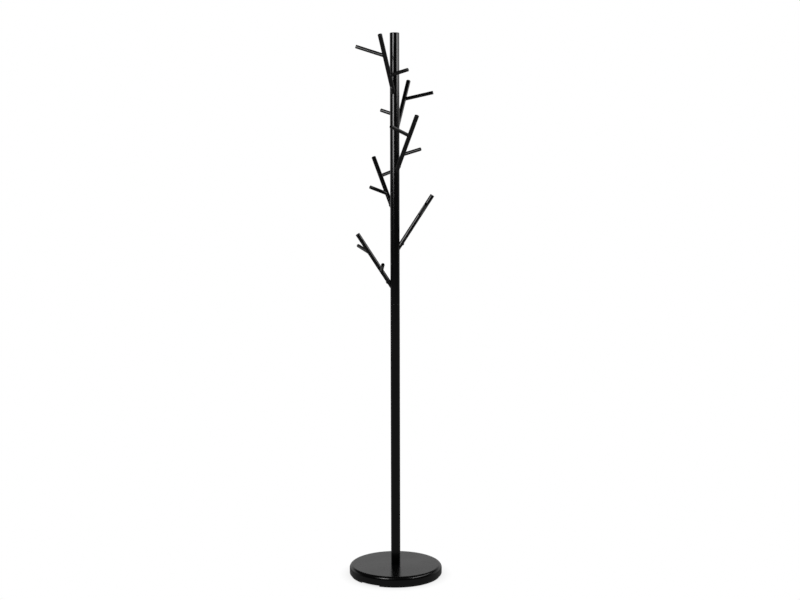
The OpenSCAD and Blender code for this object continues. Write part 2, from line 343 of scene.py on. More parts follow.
# %% Hairline rubs: short straight marks at two slants
hairlines, h_in, h_out = new_group(
    "hairlines",
    [("Scale", "NodeSocketFloat", 60.0), ("Stretch", "NodeSocketFloat", 30.0),
     ("Amount", "NodeSocketFloat", 0.5)],
    [("Mask", "NodeSocketFloat")],
)
rub_marks = []
for slant in (0.35, -1.1):
    turned_map = hairlines.nodes.new("ShaderNodeMapping")
    turned_map.inputs["Rotation"].default_value = (0.2 * slant, slant, slant)
    longer = hairlines.nodes.new("ShaderNodeCombineXYZ")
    feed(hairlines, longer, X=h_in["Stretch"], Y=1.0, Z=h_in["Stretch"])
    hairlines.links.new(own_place(hairlines), turned_map.inputs["Vector"])
    hairlines.links.new(longer.outputs[0], turned_map.inputs["Scale"])
    thin = noise(hairlines, h_in["Scale"], 1.0, turned_map.outputs[0])
    rub_marks.append(remap(hairlines, thin, 0.69, 0.75, 0.0, 1.0))
patches = remap(hairlines, noise(hairlines, 14.0, 2.0), 0.45, 0.7, 0.0, 1.0)
both = calc(hairlines, "MAXIMUM", *rub_marks)
patchy = calc(hairlines, "MULTIPLY", both, patches)
hairlines.links.new(calc(hairlines, "MULTIPLY", patchy, h_in["Amount"]), h_out["Mask"])
print("hairlines:", len(hairlines.nodes), "nodes")

# %% [markdown]
# ## The finishes
# The pole and the branches share one recipe: black stoving paint with a high
# gloss. Their colour is nearly black, because the real black comes from having
# nothing to reflect. The disc has a satin coat, which spreads what it reflects
# into a grey veil. A finish is made by one function where only its numbers
# differ, and by hand where the surface is a different thing.

# %% A blank finish and the painted ones
def new_finish(name):
    finish = bpy.data.materials.new(name)
    finish.use_nodes = True
    return finish, finish.node_tree, finish.node_tree.nodes["Principled BSDF"]


def bump(tree, shader, height, strength, distance):
    """Feeds a height to a shader as a bump; the distance is in metres."""
    node = tree.nodes.new("ShaderNodeBump")
    feed(tree, node, Height=height, Strength=strength, Distance=distance)
    tree.links.new(node.outputs["Normal"], shader.inputs["Normal"])


def painted_finish(
    name, colour, roughness, spread, ripple_scale, rub_share, ripple_depth=0.01 * MM, dust_share=0.02,
):
    finish, tree, shader = new_finish(name)
    skin = effect(tree, paint_skin, Colour=colour, Gloss_Roughness=roughness, Roughness_Spread=spread,
                  Ripple_Scale=ripple_scale, Dust=dust_share)
    rubs = effect(tree, hairlines, Amount=rub_share)
    tree.links.new(skin.outputs["Colour"], shader.inputs["Base Color"])
    rubbed = calc(tree, "ADD", skin.outputs["Roughness"], rubs.outputs["Mask"])
    tree.links.new(rubbed, shader.inputs["Roughness"])
    bump(tree, shader, skin.outputs["Ripple"], 0.35, ripple_depth)
    return finish


pole_paint = painted_finish(
    "pole_gloss_paint", (0.0025, 0.0025, 0.0027, 1), roughness=0.17, spread=0.02,
    ripple_scale=260.0, rub_share=0.06)
branch_paint = painted_finish(
    "branch_gloss_paint", (0.0025, 0.0025, 0.0027, 1), roughness=0.17, spread=0.02,
    ripple_scale=320.0, rub_share=0.06)
base_paint = painted_finish(
    "base_satin_paint", (0.0035, 0.0034, 0.0036, 1), roughness=0.21, spread=0.03,
    ripple_scale=420.0, rub_share=0.05)
screw_black = painted_finish(
    "blackened_screw", (0.02, 0.02, 0.022, 1), roughness=0.34, spread=0.05,
    ripple_scale=900.0, rub_share=0.25, ripple_depth=0.02 * MM, dust_share=0.05)
plate_enamel = painted_finish(
    "plate_enamel", (0.03, 0.03, 0.032, 1), roughness=0.5, spread=0.08,
    ripple_scale=500.0, rub_share=0.2, ripple_depth=0.05 * MM, dust_share=0.1)
painted_list = (pole_paint, branch_paint, base_paint, screw_black, plate_enamel)
print("painted finishes:", [finish.name for finish in painted_list])

# %% Moulded plastic for the caps
# Moulded plastic copies the spark-eroded grain of its mould, finer and softer
# than paint, so its bump is a small cell pattern instead of a ripple.
cap_plastic, cap_tree, cap_shader = new_finish("moulded_cap_plastic")
grain_cells = cap_tree.nodes.new("ShaderNodeTexVoronoi")
feed(cap_tree, grain_cells, Vector=own_place(cap_tree), Scale=2600.0)
cap_rubs = effect(cap_tree, hairlines, Amount=0.2)
cap_tone = remap(cap_tree, noise(cap_tree, 60.0), 0.3, 0.7, 0.0, 1.0)
cap_tree.links.new(blend(cap_tree, cap_tone, (0.010, 0.010, 0.011, 1), (0.016, 0.016, 0.017, 1)),
                   cap_shader.inputs["Base Color"])
cap_rough = remap(cap_tree, cap_tone, 0.0, 1.0, 0.26, 0.34)
cap_tree.links.new(calc(cap_tree, "ADD", cap_rough, cap_rubs.outputs["Mask"]), cap_shader.inputs["Roughness"])
bump(cap_tree, cap_shader, grain_cells.outputs["Distance"], 0.25, 0.03 * MM)
print(f"{cap_plastic.name}: {len(cap_tree.nodes)} nodes")

# %% Rubber for the feet
# Rubber is dull and holds dust in its pores. It has no clear reflection.
foot_rubber, rubber_tree, rubber_shader = new_finish("moulded_foot_rubber")
pores = noise(rubber_tree, 1800.0, 3.0)
bloom = remap(rubber_tree, noise(rubber_tree, 45.0, 3.0), 0.35, 0.75, 0.0, 1.0)
rubber_tree.links.new(blend(rubber_tree, bloom, (0.011, 0.011, 0.011, 1), (0.028, 0.027, 0.026, 1)),
                      rubber_shader.inputs["Base Color"])
rubber_tree.links.new(remap(rubber_tree, pores, 0.3, 0.7, 0.72, 0.92), rubber_shader.inputs["Roughness"])
rubber_shader.inputs["Specular IOR Level"].default_value = 0.3
bump(rubber_tree, rubber_shader, pores, 0.6, 0.12 * MM)
print(f"{foot_rubber.name}: {len(rubber_tree.nodes)} nodes")

# %% Bare and plated steel
# Turned steel shows rings from the tool; zinc plate shows a faint blue and
# yellow cloud. Both are the same recipe with different colours.
def steel_finish(name, tone, cloud, roughness, ring_scale):
    finish, tree, shader = new_finish(name)
    rings = tree.nodes.new("ShaderNodeTexWave")
    rings.wave_type = "BANDS"
    rings.bands_direction = "Z"
    feed(tree, rings, Vector=own_place(tree), Scale=ring_scale, Distortion=1.5, Detail=2.0)
    tint = remap(tree, noise(tree, 70.0, 3.0), 0.3, 0.7, 0.0, 1.0)
    rubs = effect(tree, hairlines, Amount=0.2)
    tree.links.new(blend(tree, tint, tone, cloud), shader.inputs["Base Color"])
    shader.inputs["Metallic"].default_value = 1.0
    rough = remap(tree, rings.outputs["Fac"], 0.0, 1.0, roughness - 0.06, roughness + 0.06)
    tree.links.new(calc(tree, "ADD", rough, rubs.outputs["Mask"]), shader.inputs["Roughness"])
    bump(tree, shader, rings.outputs["Fac"], 0.3, 0.02 * MM)
    return finish


bare_steel = steel_finish("turned_steel", (0.42, 0.42, 0.43, 1), (0.30, 0.29, 0.28, 1), 0.38, 900.0)
zinc_steel = steel_finish("zinc_plate", (0.60, 0.61, 0.66, 1), (0.64, 0.60, 0.50, 1), 0.30, 700.0)
print("steel finishes:", bare_steel.name, zinc_steel.name)

# %% Cast ballast
# The weight inside the disc is a cement casting: pale, dull, with sand grains
# and small air holes. Each hole is a bump, with painted shade as a darker colour in it.
ballast_cement, cement_tree, cement_shader = new_finish("ballast_cement")
sand = noise(cement_tree, 900.0, 4.0)
stain = remap(cement_tree, noise(cement_tree, 18.0, 5.0), 0.3, 0.7, 0.0, 1.0)
holes = cement_tree.nodes.new("ShaderNodeTexVoronoi")
feed(cement_tree, holes, Vector=own_place(cement_tree), Scale=240.0)
pit_depth_and_shade = remap(cement_tree, holes.outputs["Distance"], 0.0, 0.22, 0.0, 1.0)
cement_tone = blend(cement_tree, stain, (0.36, 0.35, 0.33, 1), (0.50, 0.48, 0.45, 1))
# Painted shade: the colour is darkened inside each air hole, where shade would fall.
pit_shaded_tone = blend(cement_tree, pit_depth_and_shade, (0.16, 0.155, 0.15, 1), cement_tone)
cement_tree.links.new(pit_shaded_tone, cement_shader.inputs["Base Color"])
cement_tree.links.new(remap(cement_tree, sand, 0.3, 0.7, 0.8, 0.95), cement_shader.inputs["Roughness"])
bump(cement_tree, cement_shader, calc(cement_tree, "ADD", sand, pit_depth_and_shade), 0.7, 0.3 * MM)
print("finishes:", len(bpy.data.materials))

# %% [markdown]
# ## Measuring the bars
# Each branch is a main rod with two twigs welded to it. All eighteen are round
# bars that start on the middle line of a parent bar: a rod on the pole, a twig
# on its rod. A bar is known once we have its free end, its direction and its
# radius, and all three can be read from the CAD mesh. The flat face at the free
# end points straight along the bar, so its normal is the direction.

# %% Read the bars from the CAD meshes
ALONG_BAR = 0.985
END_DEPTH = 2 * MM


def read_bar(node, parent):
    """The line, radii and lean of a bar, and where that line meets its parent's."""
    mesh = NODES[node].data
    points = np.array([v.co for v in mesh.vertices])
    middle = Vector(points.mean(axis=0))
    long_way = Vector(np.linalg.svd(points - points.mean(axis=0), full_matrices=False)[2][0])
    away = middle - parent["start"]
    if long_way.dot(away - parent["direction"] * away.dot(parent["direction"])) < 0:
        long_way = -long_way
    reach = max(long_way.dot(v.co) for v in mesh.vertices)
    end_faces = [
        f for f in mesh.polygons
        if f.normal.dot(long_way) > ALONG_BAR and reach - f.center.dot(long_way) < END_DEPTH
    ]
    area = sum(f.area for f in end_faces)
    direction = sum((f.normal * f.area for f in end_faces), Vector()).normalized()
    end = sum((f.center * f.area for f in end_faces), Vector()) / area
    from_line = points - np.array(end)
    from_line -= np.outer(from_line @ np.array(direction), np.array(direction))
    distances = np.linalg.norm(from_line, axis=1)

    across = direction - parent["direction"] * direction.dot(parent["direction"])
    back = (end - parent["start"]).dot(across) / across.dot(across)
    start = end - direction * back
    upright = parent["direction"]
    outward = across.normalized()
    turn = Matrix((outward, upright.cross(outward), upright)).transposed()
    return {
        "start": start, "direction": direction, "length": back, "turn": turn,
        "radius": distances.max(), "bore": distances.min(),
        "lean": direction.angle(upright), "parent_radius": parent["radius"],
    }


pole_low, pole_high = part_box("lower_pole")
POLE_RADIUS = (pole_high.x - pole_low.x) / 2
POLE_LINE = {"start": Vector((0, 0, 0)), "direction": Vector((0, 0, 1)), "radius": POLE_RADIUS}
BRANCH_COUNT = sum(name.startswith("branch_rod_") for name in NODES)

rods, twigs = {}, {}
for number in range(1, BRANCH_COUNT + 1):
    rod = read_bar(f"branch_rod_{number}", POLE_LINE)
    rods[number] = rod
    for side in ("upper", "lower"):
        twigs[side, number] = read_bar(f"{side}_twig_{number}", rod)

for number, rod in rods.items():
    print(
        f"rod {number}: radius {rod['radius'] / MM:.2f}, bore {rod['bore'] / MM:.2f}, "
        f"length {rod['length'] / MM:.1f} mm, lean {math.degrees(rod['lean']):.1f} degrees"
    )
for (side, number), twig in twigs.items():
    print(
        f"{side} twig {number}: radius {twig['radius'] / MM:.2f}, length {twig['length'] / MM:.1f} mm, "
        f"lean {math.degrees(twig['lean']):.1f} degrees"
    )

# %% [markdown]
# ## One tree for every bar
# A bar that is welded to a round parent ends in a saddle: its foot is higher at
# the sides than in the middle. A boolean could cut that, but it leaves a torn
# ring of points with no room for the weld. The rule behind the saddle is short,
# so a Geometry Nodes tree can bend a plain grid into the finished bar. One way
# round the grid becomes the way round the bar. The other way becomes the row
# number, which walks over the weld, up the side, round the end and back in.
#
# In the tree the parent stands along Z through the origin and the bar leans
# towards X. The tree turns the bar into place as its last step.

# %% The saddle, as a group of its own
# The height along a leaning bar at which it reaches the surface of its parent.
saddle, s_in, s_out = new_tree(
    "saddle_height",
    [("Radius", "NodeSocketFloat"), ("Round", "NodeSocketFloat"),
     ("Lean", "NodeSocketFloat"), ("Parent Radius", "NodeSocketFloat")],
    [("Height", "NodeSocketFloat")],
)
aside = calc(saddle, "MULTIPLY", s_in.outputs["Radius"], calc(saddle, "SINE", s_in.outputs["Round"]))
outwards = calc(saddle, "MULTIPLY", s_in.outputs["Radius"], calc(saddle, "COSINE", s_in.outputs["Round"]))
reach = calc(saddle, "SQRT", calc(
    saddle, "SUBTRACT",
    calc(saddle, "POWER", s_in.outputs["Parent Radius"], 2.0), calc(saddle, "POWER", aside, 2.0),
))
gained = calc(saddle, "MULTIPLY", outwards, calc(saddle, "COSINE", s_in.outputs["Lean"]))
to_surface = calc(saddle, "SUBTRACT", reach, gained)
height = calc(saddle, "DIVIDE", to_surface, calc(saddle, "SINE", s_in.outputs["Lean"]))
saddle.links.new(height, s_out.inputs["Height"])
print("saddle_height:", len(saddle.nodes), "nodes")

# %% The bar tree
# Rows, in order: the inside of the foot, the weld, the side, the rounded end,
# one row that keeps the end face flat, and the inside of the end. A tube has
# one row more, which closes its bore; on a solid bar the inside rows shrink to
# a point and are merged. A weld of less than 0 rounds the foot's edge instead.
AROUND, WELD_ROWS, SIDE_ROWS, END_ROWS = 64, 8, 10, 6
LAST_ROW = WELD_ROWS + SIDE_ROWS + END_ROWS + 2
MERGE_GAP = 0.002 * MM

bar_tree, g_in, g_out = new_tree(
    "bar_on_a_bar",
    [("Geometry", "NodeSocketGeometry"), ("Radius", "NodeSocketFloat"), ("Bore", "NodeSocketFloat"),
     ("Length", "NodeSocketFloat"), ("Lean", "NodeSocketFloat"), ("Parent Radius", "NodeSocketFloat"),
     ("Weld", "NodeSocketFloat"), ("Sink", "NodeSocketFloat"), ("End Round", "NodeSocketFloat"),
     ("Start", "NodeSocketVector"), ("Turn", "NodeSocketRotation"), ("Material", "NodeSocketMaterial")],
    [("Geometry", "NodeSocketGeometry")],
)
given = g_in.outputs


def sum_of(*values):
    total = values[0]
    for value in values[1:]:
        total = calc(bar_tree, "ADD", total, value)
    return total


def times(*values):
    product = values[0]
    for value in values[1:]:
        product = calc(bar_tree, "MULTIPLY", product, value)
    return product


def saddle_at(radius):
    node = bar_tree.nodes.new("GeometryNodeGroup")
    node.node_tree = saddle
    feed(bar_tree, node, Radius=radius, Round=round_angle,
         Lean=given["Lean"], Parent_Radius=given["Parent Radius"])
    return node.outputs["Height"]


def share(row, first, steps):
    """0 up to the row named first, then rising to 1 over so many steps."""
    risen = calc(bar_tree, "DIVIDE", calc(bar_tree, "SUBTRACT", row, first), steps)
    return calc(bar_tree, "MINIMUM", calc(bar_tree, "MAXIMUM", risen, 0.0), 1.0)


is_tube = calc(bar_tree, "GREATER_THAN", given["Bore"], 0.0)
rows = sum_of(is_tube, LAST_ROW + 1.0)
grid = feed(bar_tree, bar_tree.nodes.new("GeometryNodeMeshGrid"), Vertices_X=AROUND + 1, Vertices_Y=rows)
index = bar_tree.nodes.new("GeometryNodeInputIndex").outputs["Index"]
column = calc(bar_tree, "FLOOR", calc(bar_tree, "DIVIDE", sum_of(index, 0.5), rows))
row = calc(bar_tree, "SUBTRACT", index, times(column, rows))
round_angle = times(column, math.tau / AROUND)

weld_share = share(row, 1.0, WELD_ROWS - 1.0)
side_share = share(row, float(WELD_ROWS), float(SIDE_ROWS))
end_share = times(share(row, float(WELD_ROWS + SIDE_ROWS), float(END_ROWS)), math.pi / 2)
weld_left = calc(bar_tree, "SUBTRACT", 1.0, weld_share)
weld_height = calc(bar_tree, "ABSOLUTE", given["Weld"])

own_saddle = saddle_at(given["Radius"])
wide_saddle = calc(bar_tree, "SUBTRACT", saddle_at(sum_of(given["Radius"], given["Weld"])), given["Sink"])
top_of_weld = sum_of(own_saddle, weld_height)
below_end = calc(bar_tree, "SUBTRACT", given["Length"], given["End Round"])
outer_height = sum_of(
    times(weld_left, weld_left, wide_saddle),
    times(2.0, weld_left, weld_share, own_saddle),
    times(weld_share, weld_share, top_of_weld),
    times(side_share, calc(bar_tree, "SUBTRACT", below_end, top_of_weld)),
    times(given["End Round"], calc(bar_tree, "SINE", end_share)),
)
END_GUARD = 0.25 * MM
guard_row = share(row, LAST_ROW - 2.0, 1.0)
outer_radius = calc(
    bar_tree, "SUBTRACT",
    sum_of(given["Radius"], times(given["Weld"], weld_left, weld_left)),
    sum_of(
        times(given["End Round"], calc(bar_tree, "SUBTRACT", 1.0, calc(bar_tree, "COSINE", end_share))),
        times(guard_row, END_GUARD),
    ),
)

at_end = calc(bar_tree, "COMPARE", row, float(LAST_ROW), 0.5)
inside = calc(bar_tree, "MAXIMUM", calc(bar_tree, "LESS_THAN", row, 0.5), share(row, LAST_ROW - 1.0, 1.0))


def choose(switch, otherwise, chosen):
    node = bar_tree.nodes.new("GeometryNodeSwitch")
    node.input_type = "FLOAT"
    feed(bar_tree, node, **{"Switch": switch, "False": otherwise, "True": chosen})
    return node.outputs["Output"]


inner_height = choose(at_end, saddle_at(given["Bore"]), given["Length"])
final_radius = choose(inside, outer_radius, given["Bore"])
final_height = choose(inside, outer_height, inner_height)

lean_sine, lean_cosine = (calc(bar_tree, kind, given["Lean"]) for kind in ("SINE", "COSINE"))
out_share = times(final_radius, calc(bar_tree, "COSINE", round_angle))
place = feed(
    bar_tree, bar_tree.nodes.new("ShaderNodeCombineXYZ"),
    X=sum_of(times(final_height, lean_sine), times(out_share, lean_cosine)),
    Y=times(final_radius, calc(bar_tree, "SINE", round_angle)),
    Z=calc(bar_tree, "SUBTRACT", times(final_height, lean_cosine), times(out_share, lean_sine)),
)
shaped = feed(bar_tree, bar_tree.nodes.new("GeometryNodeSetPosition"),
              Geometry=grid.outputs["Mesh"], Position=place.outputs[0])
merged = feed(bar_tree, bar_tree.nodes.new("GeometryNodeMergeByDistance"),
              Geometry=shaped.outputs[0], Distance=MERGE_GAP)
smooth = feed(bar_tree, bar_tree.nodes.new("GeometryNodeSetShadeSmooth"), Geometry=merged.outputs[0])
turned = feed(bar_tree, bar_tree.nodes.new("GeometryNodeTransform"),
              Geometry=smooth.outputs[0], Translation=given["Start"], Rotation=given["Turn"])
realized = feed(bar_tree, bar_tree.nodes.new("GeometryNodeRealizeInstances"), Geometry=turned.outputs[0])
painted = feed(bar_tree, bar_tree.nodes.new("GeometryNodeSetMaterial"),
               Geometry=realized.outputs[0], Material=given["Material"])
bar_tree.links.new(painted.outputs[0], g_out.inputs["Geometry"])
print("bar_on_a_bar:", len(bar_tree.nodes), "nodes")

# %% Grow the bars and keep them as plain meshes
def run_tree(piece, tree, **inputs):
    """Runs a tree on a piece and keeps the result as its own mesh, in one finish."""
    modifier = piece.modifiers.new("shape", "NODES")
    modifier.node_group = tree
    identifiers = {
        item.name.replace(" ", "_"): item.identifier
        for item in tree.interface.items_tree
        if item.item_type == "SOCKET" and item.in_out == "INPUT"
    }
    for label, value in inputs.items():
        modifier[identifiers[label]] = value
    made = bpy.data.meshes.new_from_object(piece.evaluated_get(bpy.context.evaluated_depsgraph_get()))
    piece.modifiers.remove(modifier)
    made.materials.clear()
    made.materials.append(inputs["Material"])
    made.polygons.foreach_set("material_index", [0] * len(made.polygons))
    piece.data = made
    made.name = piece.name
    return piece


def grow(name, tree, **inputs):
    """Runs a tree on a new empty piece."""
    piece = bpy.data.objects.new(name, bpy.data.meshes.new(name + "_seed"))
    SCENE.collection.objects.link(piece)
    return run_tree(piece, tree, **inputs)


def stand_for(piece, slot, *nodes):
    """Lets a finished piece ride on the rack in place of its CAD nodes."""
    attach(piece, "root")
    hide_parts(*nodes)
    triangles = sum(len(f.vertices) - 2 for f in piece.data.polygons)
    print(f"{piece.name}: {triangles} triangles for {', '.join(nodes)}")
    return piece


def grow_bar(name, bar, bore, weld, sink, end_round):
    return grow(
        name, bar_tree, Radius=float(bar["radius"]), Bore=float(bore),
        Length=float(bar["length"]), Lean=float(bar["lean"]), Parent_Radius=float(bar["parent_radius"]),
        Weld=weld, Sink=sink, End_Round=end_round,
        Start=list(bar["start"]), Turn=list(bar["turn"].to_euler()), Material=branch_paint,
    )


# A rod slips over a peg and only meets the pole, so its foot is a rounded edge
# that stands a hair off the paint. A twig is welded all round and then painted.
ROD_FOOT_GAP = 0.2 * MM
ROD_FOOT_ROUND = -0.4 * MM
ROD_END_ROUND = 0.25 * MM
TWIG_WELD = 1.1 * MM
WELD_SINK = 0.1 * MM
TWIG_END_ROUND = 0.8 * MM

for number, rod in rods.items():
    rod["parent_radius"] = POLE_RADIUS + ROD_FOOT_GAP
    piece = grow_bar(f"branch_{number}_rod", rod, rod["bore"], ROD_FOOT_ROUND, 0.0, ROD_END_ROUND)
    stand_for(piece, "branch_paint", f"branch_rod_{number}")
for (side, number), twig in twigs.items():
    piece = grow_bar(f"branch_{number}_{side}_twig", twig, 0.0, TWIG_WELD, WELD_SINK, TWIG_END_ROUND)
    stand_for(piece, "branch_paint", f"{side}_twig_{number}")

# %% [markdown]
# ## Turned parts
# The pole, its cap and the disc are round about the upright line, as if turned
# on a lathe. The quick way is a Screw modifier on a profile curve; turning the
# points in code gives the same surface and lets us keep the corners in hand. A
# corner is given with its radius, and is softened with a short arc. A guard
# point just beyond each arc keeps the shading of the flat beside it even.

# %% Helpers for turned parts
GUARD = 0.4 * MM
SHARP_EDGE = math.radians(40)


def soften(corners, steps=6):
    """A closed outline from corners (radius from the axis, height, corner radius)."""
    outline = []
    for i, (x, z, bend) in enumerate(corners):
        corner = Vector((x, z))
        if not bend:
            outline.append(corner)
            continue
        before = (Vector(corners[i - 1][:2]) - corner).normalized()
        after = (Vector(corners[(i + 1) % len(corners)][:2]) - corner).normalized()
        half = before.angle(after) / 2
        cut = bend / math.tan(half)
        middle = corner + (before + after).normalized() * (bend / math.sin(half))
        first, last = corner + before * cut, corner + after * cut
        start = math.atan2(first.y - middle.y, first.x - middle.x)
        sweep = math.atan2(last.y - middle.y, last.x - middle.x) - start
        sweep = (sweep + math.pi) % math.tau - math.pi
        guard = min(GUARD, cut)
        outline.append(first + before * guard)
        for k in range(steps + 1):
            angle = start + sweep * k / steps
            outline.append(middle + Vector((math.cos(angle), math.sin(angle))) * bend)
        outline.append(last + after * guard)
    return outline


def turned_mesh(name, outline, around, hexagon_rows=()):
    """Turns a closed outline about Z; the rows named follow a hexagon instead of a circle."""
    build = bmesh.new()
    rings = []
    for step in range(around):
        angle = math.tau * step / around
        ring = []
        for i, (x, z) in enumerate(outline):
            radius = x
            if i in hexagon_rows:
                radius = x / math.cos((angle % (math.pi / 3)) - math.pi / 6)
            ring.append(build.verts.new((radius * math.cos(angle), radius * math.sin(angle), z)))
        rings.append(ring)
    size = len(outline)
    for step in range(around):
        here, there = rings[step], rings[(step + 1) % around]
        for i in range(size):
            build.faces.new((here[i], there[i], there[(i + 1) % size], here[(i + 1) % size]))
    bmesh.ops.remove_doubles(build, verts=build.verts, dist=MERGE_GAP)
    on_the_axis = [edge for edge in build.edges if not edge.link_faces]
    bmesh.ops.delete(build, geom=on_the_axis, context="EDGES")
    bmesh.ops.recalc_face_normals(build, faces=build.faces)
    for face in build.faces:
        face.smooth = True
    for edge in build.edges:
        edge.smooth = edge.calc_face_angle(0) < SHARP_EDGE
    mesh = bpy.data.meshes.new(name)
    build.to_mesh(mesh)
    build.free()
    return mesh


def turned_piece(name, outline, around, finish):
    mesh = turned_mesh(name, outline, around)
    mesh.materials.append(finish)
    piece = bpy.data.objects.new(name, mesh)
    SCENE.collection.objects.link(piece)
    return piece


# %% The disc's pressed cover
# One sheet is pressed to a wide soft edge and rolled in at the bottom, so the
# outline goes over the outside and comes back along the inside of the sheet.
cover_low, cover_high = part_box("base_cover")
ballast_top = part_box("ballast_disc")[1].z
COVER_RADIUS = (cover_high.x - cover_low.x) / 2
SHEET = cover_high.z - ballast_top
EDGE_ROUND = 12 * MM
HEM_ROUND = 4 * MM
BOLT_HOLE_RADIUS = 5.5 * MM
RAW_EDGE_ROUND = 0.4 * MM

cover_outline = soften([
    (BOLT_HOLE_RADIUS, cover_high.z, 0),
    (COVER_RADIUS, cover_high.z, EDGE_ROUND),
    (COVER_RADIUS, cover_low.z, HEM_ROUND),
    (COVER_RADIUS - HEM_ROUND, cover_low.z, RAW_EDGE_ROUND),
    (COVER_RADIUS - HEM_ROUND, cover_low.z + SHEET, RAW_EDGE_ROUND),
    (COVER_RADIUS - SHEET, cover_low.z + SHEET, HEM_ROUND - SHEET),
    (COVER_RADIUS - SHEET, ballast_top, EDGE_ROUND - SHEET),
    (BOLT_HOLE_RADIUS, ballast_top, 0),
], steps=14)
cover = turned_piece("disc_cover", cover_outline, 192, base_paint)
stand_for(cover, "base_paint", "base_cover")

# %% The two lengths of pole
# The tube's wall is read from the block that fills its bore. Both meeting ends
# have a small round bevel, and the pair of bevels makes the fine dark groove
# half way up, with a glint in it.
BORE_RADIUS = (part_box("foot_block")[1].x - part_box("foot_block")[0].x) / 2
SEAM_BEVEL = 0.8 * MM
TUBE_EDGE = 0.2 * MM


def pole_outline(bottom, top, bottom_bend, top_bend):
    return soften([
        (BORE_RADIUS, bottom, 0), (POLE_RADIUS, bottom, bottom_bend),
        (POLE_RADIUS, top, top_bend), (BORE_RADIUS, top, 0),
    ])


upper_low, upper_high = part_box("upper_pole")
lower_tube = turned_piece(
    "lower_tube", pole_outline(pole_low.z, pole_high.z, TUBE_EDGE, SEAM_BEVEL), 128, pole_paint)
upper_tube = turned_piece(
    "upper_tube", pole_outline(upper_low.z, upper_high.z, SEAM_BEVEL, TUBE_EDGE), 128, pole_paint)
stand_for(lower_tube, "pole_paint", "lower_pole")
stand_for(upper_tube, "pole_paint", "upper_pole")

# %% The cap on the pole
cap_low, cap_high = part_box("top_cap")
CAP_EDGE_ROUND = 1.4 * MM
CAP_STEM_GAP = 0.15 * MM
CAP_WALL = 1.8 * MM
CAP_STEM_ROUND = 0.5 * MM
cap_outline = soften([
    (0, cap_high.z, 0),
    (POLE_RADIUS, cap_high.z, CAP_EDGE_ROUND),
    (POLE_RADIUS, upper_high.z, 0),
    (BORE_RADIUS - CAP_STEM_GAP, upper_high.z, 0),
    (BORE_RADIUS - CAP_STEM_GAP, cap_low.z, CAP_STEM_ROUND),
    (BORE_RADIUS - CAP_STEM_GAP - CAP_WALL, cap_low.z, CAP_STEM_ROUND),
    (BORE_RADIUS - CAP_STEM_GAP - CAP_WALL, upper_high.z, CAP_STEM_ROUND),
    (0, upper_high.z, 0),
])
cap = turned_piece("pole_cap", cap_outline, 96, cap_plastic)
stand_for(cap, "cap_plastic", "top_cap")

# %% [markdown]
# ## Small parts set out by a tree
# Six screws and six plugs are each one shape in six places. A tree takes the
# places as points, each with the direction that its copy faces, and puts a copy
# on every one. The copies are turned into real geometry at the end, because a
# mesh that only refers to another can't be exported.

# %% The copying tree
def end_tree(tree, last, tree_in, tree_out):
    """Makes the last node's copies real, paints them and gives them out."""
    solid = feed(tree, tree.nodes.new("GeometryNodeRealizeInstances"), Geometry=last.outputs[0])
    painted = feed(tree, tree.nodes.new("GeometryNodeSetMaterial"),
                   Geometry=solid.outputs[0], Material=tree_in.outputs["Material"])
    tree.links.new(painted.outputs[0], tree_out.inputs["Geometry"])


set_out_tree, o_in, o_out = new_tree(
    "set_out_copies",
    [("Geometry", "NodeSocketGeometry"), ("Shape", "NodeSocketObject"), ("Material", "NodeSocketMaterial")],
    [("Geometry", "NodeSocketGeometry")],
)
shape = feed(set_out_tree, set_out_tree.nodes.new("GeometryNodeObjectInfo"), Object=o_in.outputs["Shape"])
faces_along = set_out_tree.nodes.new("GeometryNodeInputNamedAttribute")
faces_along.data_type = "FLOAT_VECTOR"
faces_along.inputs["Name"].default_value = "faces"
aim = set_out_tree.nodes.new("FunctionNodeAlignRotationToVector")
aim.axis = "Z"
feed(set_out_tree, aim, Vector=faces_along.outputs["Attribute"])
copies = feed(
    set_out_tree, set_out_tree.nodes.new("GeometryNodeInstanceOnPoints"),
    Points=o_in.outputs["Geometry"], Instance=shape.outputs["Geometry"], Rotation=aim.outputs["Rotation"],
)
end_tree(set_out_tree, copies, o_in, o_out)
print("set_out_copies:", len(set_out_tree.nodes), "nodes")


def set_out(name, shape_mesh, places, finish):
    """Copies of one shape at (point, direction) places, as one plain piece."""
    pattern = bpy.data.objects.new(name + "_pattern", shape_mesh)
    SCENE.collection.objects.link(pattern)
    points = bpy.data.meshes.new(name + "_points")
    points.from_pydata([tuple(point) for point, _ in places], [], [])
    facing = points.attributes.new("faces", "FLOAT_VECTOR", "POINT")
    facing.data.foreach_set("vector", [x for _, direction in places for x in direction])
    piece = bpy.data.objects.new(name, points)
    SCENE.collection.objects.link(piece)
    run_tree(piece, set_out_tree, Shape=pattern, Material=finish)
    bpy.data.objects.remove(pattern)
    return piece


# %% Plugs in the rod ends
# A plug has a low domed head as wide as the rod and a stem that grips the bore.
PLUG_STEM = 10 * MM
PLUG_EDGE_ROUND = 0.9 * MM
PLUG_HEAD = 1.5 * MM
PLUG_GRIP = 0.1 * MM
PLUG_SEAT_ROUND = 0.15 * MM
PLUG_TIP_ROUND = 0.8 * MM
plug_mesh = turned_mesh("plug", soften([
    (0, PLUG_HEAD, 0),
    (rods[1]["radius"], PLUG_HEAD, PLUG_EDGE_ROUND),
    (rods[1]["radius"], 0, PLUG_SEAT_ROUND),
    (rods[1]["bore"] - PLUG_GRIP, 0, 0),
    (rods[1]["bore"] - PLUG_GRIP, -PLUG_STEM, PLUG_TIP_ROUND),
    (0, -PLUG_STEM, 0),
]), 64)
plug_places = [(rod["start"] + rod["direction"] * rod["length"], rod["direction"]) for rod in rods.values()]
plugs = set_out("rod_end_plugs", plug_mesh, plug_places, cap_plastic)
stand_for(plugs, "cap_plastic", "rod_plugs")

